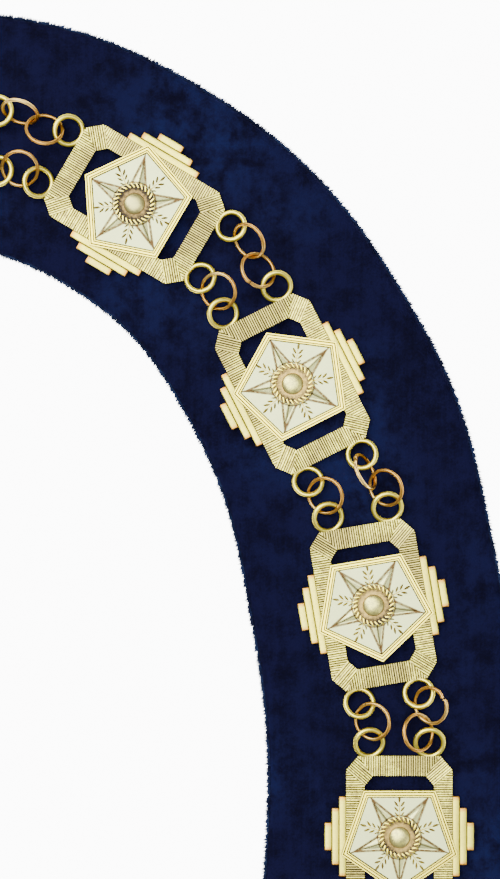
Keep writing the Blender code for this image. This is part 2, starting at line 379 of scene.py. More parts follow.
class NodeShop:
    """Builds one node material."""

    def __init__(self, name: str) -> None:
        """Start an empty material.

        Args:
            name: The material's name.
        """
        self.material = bpy.data.materials.new(name)
        self.material.use_nodes = True
        self.tree = self.material.node_tree
        self.tree.nodes.clear()
        self.place = self.wire("ShaderNodeTexCoord", {}, {}, "Object")

    def node(self, kind: str, settings: dict, sockets: dict) -> bpy.types.Node:
        """Add one node.

        Args:
            kind: The node's type.
            settings: Its own settings, set first.
            sockets: Values, or wires to link, by socket name or number.

        Returns:
            The node.
        """
        made = self.tree.nodes.new(kind)
        for key, value in settings.items():
            setattr(made, key, value)
        for key, value in sockets.items():
            if isinstance(value, Wire):
                self.tree.links.new(value.socket, made.inputs[key])
            else:
                made.inputs[key].default_value = value
        return made

    def wire(self, kind: str, settings: dict, sockets: dict, output: int | str = 0) -> Wire:
        """Add one node and return one of its outputs."""
        return Wire(self, self.node(kind, settings, sockets).outputs[output])

    def parts(self, kind: str, value: Wire) -> list[Wire]:
        """Return the three parts into which a node splits a colour or a vector."""
        return [Wire(self, part) for part in self.node(kind, {}, {0: value}).outputs]

    def noise(self, scale: float, detail: float = 2.0, stretch: tuple = (1.0, 1.0, 1.0),
              roughness: float = 0.5) -> Wire:
        """Return a noise value over the object's own coordinates.

        Args:
            scale: Features per metre.
            detail: How many finer layers are added.
            stretch: How much the pattern is squeezed along each axis.
            roughness: The weight of the finer layers.

        Returns:
            The noise, from 0 to 1.
        """
        place = self.wire("ShaderNodeMapping", {}, {"Vector": self.place, "Scale": stretch})
        return self.wire("ShaderNodeTexNoise", {}, {
            "Vector": place, "Scale": scale, "Detail": detail, "Roughness": roughness}, "Fac")

    def mix(self, share: "Wire | float", first: "Wire | tuple", second: "Wire | tuple") -> Wire:
        """Return a mix of two colours."""
        ends = [one if isinstance(one, Wire) else (*one, 1.0) for one in (first, second)]
        return self.wire("ShaderNodeMix", {"data_type": "RGBA"}, {0: share, 6: ends[0], 7: ends[1]}, 2)

    def painted(self) -> list[Wire]:
        """Return the three shares stored on the mesh: dark, coppery and matt."""
        stored = self.wire("ShaderNodeAttribute", {"attribute_name": PAINT}, {}, "Color")
        return self.parts("ShaderNodeSeparateColor", stored)

    def lie(self, size: float) -> tuple[Wire, Wire]:
        """Return a point's place on its plaque in millimetres, from the mesh's own map of this width."""
        x, y, _ = self.parts("ShaderNodeSeparateXYZ", self.wire("ShaderNodeUVMap", {"uv_map": LIE}, {}))
        return (x - 0.5) * size, (y - 0.5) * size

    def bump(self, height: Wire, strength: float, distance: float) -> Wire:
        """Return a normal that is bent by a height."""
        return self.wire("ShaderNodeBump", {}, {"Height": height, "Strength": strength, "Distance": distance})

    def principled(self, sockets: dict) -> bpy.types.Material:
        """End the material in a Principled shader.

        Args:
            sockets: Values, or wires to link, by socket name.

        Returns:
            The finished material.
        """
        shader = self.wire("ShaderNodeBsdfPrincipled", {}, sockets)
        self.node("ShaderNodeOutputMaterial", {}, {"Surface": shader})
        return self.material


@dataclass(frozen=True)
class VelvetFinish:
    """Deep navy cut velvet with a crushed nap, softly patched with a painted sheen where the nap is crushed,
    and a fine upright rib.
    """

    shade: tuple = (0.0014, 0.0012, 0.0085)
    body: tuple = (0.0038, 0.0039, 0.0235)
    crushed_sheen: tuple = (0.0105, 0.0180, 0.0860)
    crushed_sheen_share: float = 0.38
    patch_scale: float = 15.0
    mottle_scale: float = 110.0
    pile_scale: float = 1500.0
    rib_pitch: float = 1.1 * MM

    def material(self) -> bpy.types.Material:
        """Build the velvet's material.

        Returns:
            The material.
        """
        shop = NodeShop("navy_velvet")
        patches = shop.noise(self.patch_scale).between(0.42, 0.78)
        mottle = shop.noise(self.mottle_scale, 4.0, roughness=0.68)
        ribs = shop.noise(1.0 / self.rib_pitch, 1.0, stretch=(1.0, 0.03, 1.0))
        pile = shop.noise(self.pile_scale)
        nap = mottle * 0.60 + ribs * 0.14 + pile * 0.26
        colour = shop.mix(nap.between(0.35, 0.60), self.shade, self.body)
        # Painted sheen: patches of crushed nap lightened towards steel blue, as if they caught the light.
        colour = shop.mix(patches * mottle.between(0.32, 0.64) * self.crushed_sheen_share, colour, self.crushed_sheen)
        return shop.principled({
            "Base Color": colour, "Roughness": 0.80 + nap * 0.2,
            "Normal": shop.bump(pile * 0.7 + ribs * 0.3, 0.55, 0.25 * MM),
            "Sheen Weight": 0.035, "Sheen Roughness": 0.35, "Sheen Tint": (0.30, 0.40, 1.0, 1.0),
            "Specular IOR Level": 0.06,
        })


@dataclass(frozen=True)
class PileFinish:
    """The frayed pile at the band's cut edges, a little lighter and more steely than the face."""

    root: tuple = (0.0016, 0.0026, 0.0170)
    tip: tuple = (0.0110, 0.0200, 0.0640)

    def material(self) -> bpy.types.Material:
        """Build the edge pile's material.

        Returns:
            The material.
        """
        shop = NodeShop("edge_pile")
        clumps = shop.noise(260.0, 3.0, roughness=0.6)
        strand = shop.noise(2600.0, 1.0)
        colour = shop.mix((clumps * 0.7 + strand * 0.3).between(0.38, 0.64), self.root, self.tip)
        return shop.principled({
            "Base Color": colour, "Roughness": 0.75 + strand * 0.2, "Sheen Weight": 0.06,
            "Sheen Roughness": 0.4, "Sheen Tint": (0.4, 0.5, 1.0, 1.0), "Specular IOR Level": 0.10,
        })


@dataclass(frozen=True)
class GoldFinish:
    """Pale gold plate, with painted shade and brown toning in its grooves and gaps, coppery edges partly
    painted as shade and reflection, and matt silvery fields where the mesh is painted so.

    The polished one is for the bars and the soldered rings, and has no tooth.
    """

    name: str = "pale_gold"
    polished: bool = False
    zone_scale: float = 34.0
    wear_scale: float = 420.0
    speck_scale: float = 1250.0
    grain_scale: float = 3200.0
    map_size: float = 60.0
    star_radius: float = 15.5
    star_waist: float = 5.2
    middle_radius: float = 7.2
    bright: tuple = (0.94, 0.84, 0.105)
    olive: tuple = (0.28, 0.20, 0.035)
    copper: tuple = (0.74, 0.35, 0.05)
    silver: tuple = (0.81, 0.87, 0.41)
    recess_shade: tuple = (0.030, 0.019, 0.006)
    outline_shade: tuple = (0.11, 0.060, 0.016)
    edge_line: tuple = (0.20, 0.58)
    ridge_line: tuple = (0.12, 0.34)

    def halo(self, shop: NodeShop) -> Wire:
        """Return the brown lines along the star's edges and ridges and round its middle: painted shade where
        the field meets the raised relief, and toned lines along the ridges.

        Args:
            shop: The material that is being built.

        Returns:
            The tone, from 0 on the open field to 1 on a line.
        """
        x, y = shop.lie(self.map_size)
        reach = (x * x + y * y) ** 0.5
        half = math.pi / 5
        fold = y.math("ARCTAN2", x).math("PINGPONG", half)
        across = reach * fold.math("SINE")
        along = reach * fold.math("COSINE")
        waist = Vector((self.star_waist * math.cos(half), self.star_waist * math.sin(half)))
        edge = (waist - Vector((self.star_radius, 0.0))).normalized()
        away = ((along - self.star_radius) * edge.y - across * edge.x).math("ABSOLUTE")
        beside = 1.0 - away.between(*self.edge_line)
        spine = (1.0 - across.between(*self.ridge_line)) * 0.7
        ring = 1.0 - reach.between(self.middle_radius, self.middle_radius + 0.5)
        return (beside + spine + ring) * reach.between(self.middle_radius - 0.4, self.middle_radius - 0.1)

    def material(self) -> bpy.types.Material:
        """Build the plaques' material.

        Returns:
            The material.
        """
        shop = NodeShop(self.name)
        painted, coppery, matt = shop.painted()
        zone = shop.noise(self.zone_scale).between(0.45, 0.58)
        wear = shop.noise(self.wear_scale, 4.0, roughness=0.65)
        speck = shop.noise(self.speck_scale, roughness=0.6)
        grain = shop.noise(self.grain_scale)
        worked = matt.between(0.02, 0.10)
        # Painted shade beside the relief and toned ridge lines, only on the field and the star.
        drawn = self.halo(shop) * matt.between(0.30, 0.39)
        tone = speck.between(0.36, 0.60) * 0.6 + wear.between(0.40, 0.60) * 0.4
        colour = shop.mix(1.0 - worked * (1.0 - tone * (1.0 - zone * 0.80)), self.olive, self.bright)
        # Copper share: real copper tone on the rim, leaves and ground, and painted shade and painted copper
        # reflection on the bar tips, ring sides and dome.
        colour = shop.mix(coppery * (0.65 + wear * 0.6), colour, self.copper)
        colour = shop.mix(matt, colour, self.silver)
        colour = shop.mix(drawn * (0.75 + speck.between(0.35, 0.60) * 0.25), colour, self.outline_shade)
        # Painted shade with brown toning: the mesh's dark share, in grooves, on walls and between parts,
        # broken up by specks.
        shade_and_toning = painted ** 0.6 * (0.58 + speck.between(0.40, 0.60) * 0.40 + zone * 0.50)
        colour = shop.mix(shade_and_toning, colour, self.recess_shade)
        rough = (0.27 if self.polished else 0.19) + matt * 0.23 + shade_and_toning * 0.25 + wear * 0.10
        sockets = {"Base Color": colour, "Roughness": rough, "Metallic": 1.0 - matt * 0.25 - shade_and_toning * 0.4}
        if not self.polished:
            sockets["Normal"] = shop.bump(wear * 0.3 + grain * (0.15 + matt * 0.6), 0.12, 0.04 * MM)
        return shop.principled(sockets)


@dataclass(frozen=True)
class WireFinish:
    """Bright drawn wire whose plating runs from pale gold to copper."""

    pale: tuple = (0.80, 0.56, 0.16)
    copper: tuple = (0.54, 0.28, 0.05)

    def material(self) -> bpy.types.Material:
        """Build the loose rings' material.

        Returns:
            The material.
        """
        shop = NodeShop("copper_wire")
        run = shop.noise(75.0, 1.0).between(0.48, 0.72)
        draw = shop.noise(3500.0)
        colour = shop.mix(run, self.copper, self.pale)
        return shop.principled({
            "Base Color": colour, "Roughness": 0.25 + draw * 0.10, "Metallic": 1.0,
        })


@dataclass(frozen=True)
class TableFinish:
    """A plain pale table top with a barely visible tooth."""

    pale: tuple = (0.86, 0.86, 0.87)
    warm: tuple = (0.80, 0.80, 0.81)
    glow: float = 10.0

    def material(self) -> bpy.types.Material:
        """Build the table's material.

        Returns:
            The material.
        """
        shop = NodeShop("pale_table")
        tooth = shop.noise(900.0, 3.0)
        cloud = shop.noise(3.0)
        return shop.principled({
            "Base Color": shop.mix(cloud.between(0.3, 0.7), self.warm, self.pale),
            "Roughness": 0.75 + tooth * 0.15, "Normal": shop.bump(tooth, 0.05, 0.1 * MM),
            "Emission Color": (1.0, 1.0, 1.0, 1.0), "Emission Strength": self.glow,
        })


def coat(made: Piece, material: bpy.types.Material) -> Piece:
    """Give an object its one material.

    Args:
        made: The object.
        material: The finish.

    Returns:
        The same object.
    """
    made.data.materials.clear()
    made.data.materials.append(material)
    return made


def dress(made: Piece, slot: Slot, *nodes: str) -> Piece:
    """Attach a coated piece to its body and hide the CAD nodes that it stands for.

    Args:
        made: The piece.
        slot: Not used.
        nodes: The CAD nodes that it replaces.

    Returns:
        The piece.
    """
    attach(made, ROOT)
    if nodes:
        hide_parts(*nodes)
    LOG.info("%s: %d faces", made.name, len(made.data.polygons))
    return made


@dataclass
class ChainLine:
    """The line that the plaques follow; the left half mirrors the right half."""

    frame_length: float = 53.7 * MM
    link_gap: float = 25.0 * MM
    band_width: float = 90.0 * MM
    seat: float = 3.3 * MM
    edge_steps: int = 48
    stations: tuple[Station, ...] = (
        Station(0.0, 15.3, 1.009, -1, 0.381, 0.493),
        Station(30.5, 48.7, 1.011, -1, 0.392, 0.506),
        Station(63.1, 69.9, 0.995, -1, 0.406, 0.533),
        Station(80.4, 83.6, 0.985, 1, 0.459, 0.488),
        Station(90.0, 100.0, 1.0, 1, 0.496, 0.496),
        Station(110.0, 123.0, 1.0, 1, 0.496, 0.496),
        Station(136.0, 151.5, 1.0, 1, 0.496, 0.496),
        Station(164.0, 180.0, 1.0, 1, 0.496, 0.496),
    )
    shift: float = field(init=False, default=0.0)

    def __post_init__(self) -> None:
        """Find how far the line is moved so that the frame's box is centred on it."""
        low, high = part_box("plaque_01")
        self.shift = (low[1] + high[1]) / 2

    def places(self) -> list[Vector]:
        """Step along the right half of the line.

        Returns:
            The plaques' centres, at the height of their seat.
        """
        place = Vector((0.0, self.shift, self.seat))
        found = []
        for station in self.stations:
            found.append(place.copy())
            step, _ = heading_vectors(station.step_heading)
            place = place + step * station.step_share * (self.frame_length + self.link_gap)
        return found

    def edge(self, side: Side) -> np.ndarray:
        """Return the band's closed edge as many points, in the same order on both sides.

        Args:
            side: Which edge.

        Returns:
            An array of x and y, clockwise from the top.
        """
        right = []
        for station, place in zip(self.stations, self.places()):
            _, outward = heading_vectors(station.heading)
            share = station.outer_share if side is Side.OUTER else station.inner_share
            right.append(place + outward * side.value * share * self.band_width)
        left = [mirrored(point) for point in reversed(right[1:])]
        curve = bpy.data.curves.new("edge", "CURVE")
        curve.resolution_u = self.edge_steps
        spline = curve.splines.new("BEZIER")
        spline.bezier_points.add(len(right) + len(left) - 1)
        for knot, point in zip(spline.bezier_points, right + left):
            knot.co = (point.x, point.y, 0.0)
            knot.handle_left_type = knot.handle_right_type = "AUTO"
        spline.use_cyclic_u = True
        maker = Bench.link("edge", curve)
        bpy.context.view_layer.update()
        points = np.array([(vert.co.x, vert.co.y) for vert in maker.to_mesh().vertices])
        Bench.discard(maker)
        return points


@dataclass
class VelvetBand:
    """The velvet backing, a flat closed sheet, and the frayed pile along its two cut edges."""

    line: ChainLine
    thickness: float = 3.0 * MM
    roll: float = 1.0 * MM
    inset: float = 0.8 * MM
    across: int = 44
    under: int = 6
    ripple: float = 0.28 * MM
    rim_drop: float = 0.5 * MM
    ripple_scale: float = 26.0
    tuft_pitch: float = 0.42 * MM
    tuft_radius: float = 0.34 * MM
    tuft_length: float = 0.9 * MM
    tuft_root: float = 1.0 * MM
    tooth_pitch: float = 3.6 * MM
    tooth_depth: float = 1.1 * MM
    tooth_restart: float = 0.35
    clump_play: tuple[float, float] = (0.5, 1.6)
    lean_play: tuple[float, float] = (-0.1, 0.7)
    lift_play: tuple[float, float] = (-0.15, 0.5)
    length_play: tuple[float, float] = (0.5, 1.0)
    fat_play: tuple[float, float] = (0.8, 1.3)
    pitch_play: tuple[float, float] = (0.7, 1.3)
    rows: tuple[float, ...] = (0.7 * MM, 1.5 * MM, 2.3 * MM)

    def section(self) -> list[tuple[float, float, bool]]:
        """Lay out the band's cross section.

        Returns:
            For each point, its share across, its height and whether the nap ripples there.
        """
        middle = self.thickness / 2
        top = [(number / self.across, self.thickness, True) for number in range(self.across + 1)]
        bottom = [(1.0 - number / self.under, 0.0, False) for number in range(self.under + 1)]
        return top + [(1.0, middle, False)] + bottom + [(0.0, middle, False)]

    def sheet(self) -> Piece:
        """Model the velvet with rounded edges and a faintly rippled face.

        Returns:
            The band as one closed mesh.
        """
        inner = self.line.edge(Side.INNER)
        outer = self.line.edge(Side.OUTER)
        width = np.linalg.norm(outer - inner, axis=1)
        points = []
        section = self.section()
        for start, end, wide in zip(inner, outer, width):
            for share, height, rippled in section:
                pull = (self.inset + (self.roll if height != self.thickness / 2 else 0.0)) / wide
                place = start + (end - start) * (pull + share * (1.0 - 2.0 * pull))
                if rippled:
                    spot = Vector((place[0], place[1], 0.0)) * self.ripple_scale
                    rim = max(0.0, 1.0 - min(share, 1.0 - share) * self.across)
                    height -= self.ripple * (0.5 + 0.5 * noise.noise(spot)) + self.rim_drop * rim ** 2
                points.append((place[0], place[1], height))
        count = len(section)
        faces = []
        for turn in range(len(inner)):
            here, there = turn * count, (turn + 1) % len(inner) * count
            for step in range(count):
                after = (step + 1) % count
                faces.append((here + step, here + after, there + after, there + step))
        made = Bench.weave("velvet_sheet", points, faces)
        Bench.clear()
        bpy.context.view_layer.objects.active = made
        made.select_set(True)
        bpy.ops.object.mode_set(mode="EDIT")
        return Bench.finish(made, 60.0)

    def tuft(self) -> tuple[np.ndarray, list[tuple[int, ...]]]:
        """Model one tuft of pile.

        Returns:
            Its points and faces, standing along +Z from the origin.
        """
        made = Bench.start(bpy.ops.mesh.primitive_cone_add, "tuft", vertices=4, radius1=self.tuft_radius,
                           radius2=0.0, depth=self.tuft_length, location=(0.0, 0.0, self.tuft_length / 2))
        Bench.finish(made)
        points = np.array([tuple(vert.co) for vert in made.data.vertices])
        faces = [tuple(face.vertices) for face in made.data.polygons]
        Bench.discard(made)
        return points, faces

    def pile(self) -> Piece:
        """Model the frayed pile along both edges as small leaning tufts in saw-tooth clumps.

        Returns:
            The pile as one mesh.
        """
        model, model_faces = self.tuft()
        dice = random.Random(7)
        points = []
        faces = []
        for side in Side:
            edge = self.line.edge(side)
            lengths = np.linalg.norm(np.roll(edge, -1, axis=0) - edge, axis=1)
            sums = np.concatenate(([0.0], np.cumsum(lengths)))
            closed = np.vstack((edge, edge[:1]))
            for row in self.rows:
                distance = 0.0
                tooth = dice.random()
                tooth_pitch = self.tooth_pitch
                while distance < sums[-1]:
                    x, y = (np.interp(distance, sums, closed[:, axis]) for axis in (0, 1))
                    x2, y2 = (np.interp(distance + MM, sums, closed[:, axis]) for axis in (0, 1))
                    tangent = Vector((x2 - x, y2 - y, 0.0)).normalized()
                    normal = Vector((-tangent.y, tangent.x, 0.0)) * side.value
                    lean = normal + tangent * dice.uniform(*self.lean_play)
                    lean.z = dice.uniform(*self.lift_play) + (row / self.thickness - 0.5) * 0.5
                    turn = lean.to_track_quat("Z", "Y").to_matrix()
                    reach = self.tuft_length * dice.uniform(*self.length_play) + tooth * self.tooth_depth
                    fat = dice.uniform(*self.fat_play)
                    root = Vector((x, y, row)) - normal * self.tuft_root
                    shape = np.array(turn) @ (model * np.array((fat, fat, reach / self.tuft_length))).T
                    first = len(points)
                    points += [(a + root.x, b + root.y, c + root.z) for a, b, c in shape.T]
                    faces += [tuple(first + corner for corner in face) for face in model_faces]
                    distance += self.tuft_pitch * dice.uniform(*self.pitch_play)
                    tooth += self.tuft_pitch / tooth_pitch
                    if tooth > 1.0:
                        tooth = dice.uniform(0.0, self.tooth_restart)
                        tooth_pitch = self.tooth_pitch * dice.uniform(*self.clump_play)
        return Bench.weave("velvet_edge_pile", points, faces)

    def flat_size(self) -> tuple[float, float, float]:
        """Measure the cut of the velvet.

        Returns:
            Its width and length over all, and its flat area.
        """
        areas = []
        for side in Side:
            edge = self.line.edge(side)
            x, y = edge[:, 0], edge[:, 1]
            areas.append(abs(np.dot(x, np.roll(y, -1)) - np.dot(y, np.roll(x, -1))) / 2)
        outer = self.line.edge(Side.OUTER)
        width, length = outer.max(axis=0) - outer.min(axis=0)
        return float(width), float(length), float(abs(areas[0] - areas[1]))

    def build(self, table: Piece) -> None:
        """Args:
            table: Not used.
        """
        sheet = dress(coat(self.sheet(), VelvetFinish().material()), Slot.VELVET, "velvet_band")
        pile = dress(coat(self.pile(), PileFinish().material()), Slot.VELVET)
        width, length, area = self.flat_size()


@dataclass
class Plaque:
    """One soldered plaque: fluted frame, stepped bars, five-sided plate, relief and four end rings.

    Its facing is 1 where the plate's point is at the leading end, and -1 at the trailing end.
    """

    facing: int = 1
    length: float = 53.7 * MM
    width: float = 35.3 * MM
    cut_length: float = 4.7 * MM
    cut_width: float = 4.0 * MM
    thickness: float = 2.0 * MM
    band_at_ends: float = 6.6 * MM
    band_at_sides: float = 6.1 * MM
    hole_cut_length: float = 3.3 * MM
    hole_cut_width: float = 2.8 * MM
    flute_pitch: float = 0.78 * MM
    flute_height: float = 0.08 * MM
    flute_play: tuple[tuple[float, float], ...] = ((0.35, 3.0), (-0.35, 1.4), (0.0, 2.1))
    bar_width: float = 2.4 * MM
    bar_thickness: float = 1.4 * MM
    bar_lengths: tuple[float, ...] = (26.7 * MM, 19.0 * MM, 9.3 * MM)
    bar_bevel: float = 0.32 * MM
    bar_tips: tuple[float, ...] = (0.5 * MM, 1.6 * MM)
    plate_radius: float = 20.4 * MM
    plate_squash: float = 0.94
    plate_thickness: float = 1.2 * MM
    plate_sink: float = 0.15 * MM
    rim_rise: float = 0.12 * MM
    rim_steps: tuple[tuple[float, float], ...] = (
        (0.34, 0.0), (0.20, -0.22), (0.20, 0.22), (0.56, 0.0), (0.18, -0.22), (0.18, 0.22), (0.26, 0.0))
    field_drop: float = 0.4 * MM
    star_radius: float = 15.5 * MM
    star_waist: float = 5.2 * MM
    star_height: float = 1.0 * MM
    star_lift: float = 0.18 * MM
    boss_radius: float = 3.6 * MM
    boss_squash: float = 0.30
    boss_lift: float = 0.95 * MM
    bead_ring: float = 5.4 * MM
    rope_strands: int = 26
    rope_slant: float = 35.0
    strand: tuple[float, float, float] = (2.1 * MM, 0.62 * MM, 0.55 * MM)
    leaves: tuple[tuple[float, float, float], ...] = (
        (12.6, 0.0, 2.6), (11.0, 0.85, 2.4), (11.0, -0.85, 2.4), (9.3, 0.95, 2.2), (9.3, -0.95, 2.2),
        (7.7, 1.0, 1.7), (7.7, -1.0, 1.7))
    leaf_aside: float = 1.05 * MM
    stem_length: float = 5.6 * MM
    ring_radius: float = 4.675 * MM
    ring_wire: float = 1.75 * MM
    ring_reach: float = 4.6 * MM
    ring_offset: float = 10.0 * MM
    ring_pitch: float = 15.0
    inner_ring_roll: float = -8.0

    def corners(self, length: float, width: float, cut_length: float, cut_width: float) -> list[Vector]:
        """Cut the corners off a rectangle.

        Args:
            length: Its length.
            width: Its width.
            cut_length: How much of each long side a cut takes.
            cut_width: How much of each short side a cut takes.

        Returns:
            The eight corners, anticlockwise.
        """
        a, b = length / 2, width / 2
        return [Vector((x, y, 0.0)) for x, y in (
            (a, cut_width - b), (a, b - cut_width), (a - cut_length, b), (cut_length - a, b),
            (-a, b - cut_width), (-a, cut_width - b), (cut_length - a, -b), (a - cut_length, -b),
        )]

    def flute_run(self, start: Vector, end: Vector, inner_start: Vector, inner_end: Vector) -> Piece:
        """Return one straight run of the frame, fluted square across its outer edge and mitred at both ends.

        Args:
            start: The outer edge's first corner.
            end: Its second corner.
            inner_start: The hole's corner beside the first one.
            inner_end: The hole's corner beside the second one.

        Returns:
            The run as a closed solid on the plaque's underside.
        """
        along = (end - start).normalized()
        inward = Vector((-along.y, along.x, 0.0))
        depth = max((corner - start).dot(inward) for corner in (inner_start, inner_end)) + 0.2 * MM
        quarter = self.flute_pitch / 4
        spans = [(corner - start).dot(along) for corner in (start, end, inner_start, inner_end)]
        cells = 2 * math.ceil((max(spans) - min(spans)) / quarter / 2 + 2)
        run = Bench.start(bpy.ops.mesh.primitive_grid_add, "flutes", (cells * quarter, depth, 1.0),
                          x_subdivisions=cells, y_subdivisions=2, size=1.0)
        for group, (slide, sink) in enumerate(self.flute_play):
            Bench.pick_points(run, lambda co: round(co.x / quarter) % 4 == 0
                              and round(co.x / quarter) // 4 * 5 % 7 % len(self.flute_play) == group)
            bpy.ops.transform.translate(value=(slide * quarter, 0.0, -sink * self.flute_height))
        bpy.ops.object.mode_set(mode="OBJECT")
        middle = start + along * (max(spans) + min(spans)) / 2 + inward * depth / 2
        turn = Matrix((along, inward, Vector((0.0, 0.0, 1.0)))).transposed().to_4x4()
        run.data.transform(Matrix.Translation(middle + Vector((0.0, 0.0, self.thickness))) @ turn)
        bpy.ops.object.mode_set(mode="EDIT")
        cuts = ((start, inner_start - start, -along), (end, inner_end - end, along),
                (inner_start, inner_end - inner_start, inward))
        for corner, edge, away in cuts:
            normal = Vector((-edge.y, edge.x, 0.0)).normalized()
            Bench.cut(corner, -normal if normal.dot(away) < 0.0 else normal, clear_outer=True)
        bpy.ops.mesh.select_all(action="SELECT")
        bpy.ops.mesh.extrude_region_move(TRANSFORM_OT_translate={"value": (0.0, 0.0, -self.thickness)})
        Bench.stretch(z=0.0)
        bpy.ops.mesh.dissolve_limited(angle_limit=math.radians(1.0))
        # Painted shade with brown toning: darker deeper into each flute's hollow, and the run's side walls
        # dark.
        return Bench.finish(run, 50.0, lambda co, normal: (
            min(1.0, max(0.0, (self.thickness - co.z) / (3 * self.flute_height))) if normal.z > 0.2 else 0.35,
            0.0, 0.12))

    def fluted_frame(self) -> list[Piece]:
        """Model the pierced frame.

        Returns:
            Its eight fluted runs.
        """
        rim = self.corners(self.length, self.width, self.cut_length, self.cut_width)
        hole = self.corners(self.length - 2 * self.band_at_ends, self.width - 2 * self.band_at_sides,
                            self.hole_cut_length, self.hole_cut_width)
        return [self.flute_run(*four) for four in zip(rim, rim[1:] + rim[:1], hole, hole[1:] + hole[:1])]

    def stepped_bars(self) -> list[Piece]:
        """Model the three smooth bars beside each long side.

        Returns:
            The six bars.
        """
        bars = []
        edge = self.bar_width / 2
        for side in Side:
            for number, length in enumerate(self.bar_lengths):
                middle = side.value * (self.width / 2 + (number + 0.5) * self.bar_width)
                bar = Bench.start(bpy.ops.mesh.primitive_cube_add, "bar",
                                  (length, self.bar_width, self.bar_thickness),
                                  size=1.0, location=(0.0, middle, self.thickness / 2))
                bpy.ops.mesh.bevel(offset=self.bar_bevel, segments=3, affect="EDGES")
                end = length / 2
                for tip in self.bar_tips:
                    for way in (1.0, -1.0):
                        Bench.cut((way * (end - tip), 0.0, 0.0), (1.0, 0.0, 0.0))
                # Painted shade on the bars' sides and along their top edges, and a painted copper reflection
                # near each end.
                bars.append(Bench.finish(bar, 40.0, lambda co, normal: (
                    0.85 if normal.z < 0.6 else 0.35 if abs(co.y - middle) > edge - 0.1 * MM else 0.04,
                    min(1.0, max(0.0, 1.6 - (end - abs(co.x)) / MM)), 0.0)))
        return bars

    def plate_top(self) -> float:
        """Return the height of the plate's outer edge above the plaque's underside."""
        return self.thickness - self.plate_sink + self.plate_thickness

    def field_height(self) -> float:
        """Return the height of the plate's field above the plaque's underside."""
        return self.plate_top() + self.rim_rise - self.field_drop

    def plate(self) -> Piece:
        """Model the five-sided plate with its double-lined rim and sunken matt field.

        Returns:
            The plate.
        """
        middle = self.thickness - self.plate_sink + self.plate_thickness / 2
        plate = Bench.start(bpy.ops.mesh.primitive_cylinder_add, "plate", vertices=5,
                            radius=self.plate_radius, depth=self.plate_thickness, location=(0.0, 0.0, middle),
                            rotation=(0.0, 0.0, -self.facing * math.pi / 2))
        Bench.stretch(self.plate_squash)
        Bench.pick_faces(plate, lambda co, normal: normal.z > 0.9)
        steps = ((0.12, self.rim_rise / MM), *self.rim_steps, (0.40, -self.field_drop / MM))
        for thickness, depth in steps:
            bpy.ops.mesh.inset(thickness=thickness * MM, depth=depth * MM, use_even_offset=True)

        def shares(co: Vector, normal: Vector) -> tuple[float, float, float]:
            """Paint the rim's grooves and inner wall dark, painted shade with brown toning, and a matt field
            inside it.

            Args:
                co: A corner's place.
                normal: Its face's normal.

            Returns:
                How dark, coppery and matt it is.
            """
            if normal.z < 0.9:
                return (0.9 if co.z > self.plate_top() - 0.3 * MM else 0.5), 0.1, 0.0
            return (0.0, 0.0, 1.0) if abs(co.z - self.field_height()) < 0.05 * MM else (0.0, 0.12, 0.0)

        return Bench.finish(plate, 25.0, shares)

    def star(self) -> Piece:
        """Model the five-pointed star with bevelled rays, a little above the field.

        Returns:
            The star.
        """
        middle = self.field_height() + self.star_lift + self.star_height / 2
        star = Bench.start(bpy.ops.mesh.primitive_cone_add, "star", vertices=10, radius1=self.star_radius,
                           radius2=0.0, depth=self.star_height, location=(0.0, 0.0, middle),
                           rotation=(0.0, 0.0, -self.facing * math.pi / 2))
        Bench.pick_points(star, lambda co: co.z < middle and co.length > self.star_radius / 2 and round(
            math.degrees(math.atan2(co.y, self.facing * co.x)) / 36.0) % 2 == 1)
        share = self.star_waist / self.star_radius
        Bench.stretch(share, share)
        bpy.ops.mesh.select_all(action="SELECT")
        Bench.stretch(self.plate_squash)
        Bench.pick_faces(star, lambda co, normal: normal.z < -0.9)
        bpy.ops.mesh.extrude_region_move(TRANSFORM_OT_translate={"value": (0.0, 0.0, -0.4 * MM)})
        Bench.pick_faces(star, lambda co, normal: normal.z > 0.1)
        bpy.ops.mesh.inset(thickness=0.34 * MM, depth=-0.12 * MM, use_individual=True)
        # Painted shade on the star's steep walls.
        return Bench.finish(star, 15.0, lambda co, normal: (0.95 if normal.z < 0.3 else 0.0, 0.15, 0.75))

    def boss(self) -> list[Piece]:
        """Model the domed boss, its grooved ground and its rope border.

        Returns:
            The dome, the ground and the rope's strands.
        """
        floor = self.field_height() + self.boss_lift
        dome = Bench.start(bpy.ops.mesh.primitive_uv_sphere_add, "boss", segments=28, ring_count=16,
                           radius=self.boss_radius)
        Bench.stretch(z=self.boss_squash)
        Bench.cut((0.0, 0.0, 0.0), (0.0, 0.0, -1.0), use_fill=True, clear_outer=True)
        bpy.ops.mesh.select_all(action="SELECT")
        bpy.ops.transform.translate(value=(0.0, 0.0, floor - 0.05 * MM))
        # Painted shade: the dome turns coppery towards its sloping sides and stays pale on top.
        Bench.finish(dome, 40.0, lambda co, normal: (0.0, max(0.0, 1.0 - normal.z ** 2) * 1.3, 0.35))
        ground = Bench.start(bpy.ops.mesh.primitive_cylinder_add, "ground", vertices=40,
                             radius=self.bead_ring + 1.35 * MM, depth=1.1 * MM,
                             location=(0.0, 0.0, floor - 0.55 * MM))
        Bench.pick_faces(ground, lambda co, normal: normal.z > 0.9)
        for width, depth in ((0.10, 0.0), (1.15, 0.0), (0.14, -0.03), (1.1, 0.0)):
            bpy.ops.mesh.inset(thickness=width * MM, depth=depth * MM)
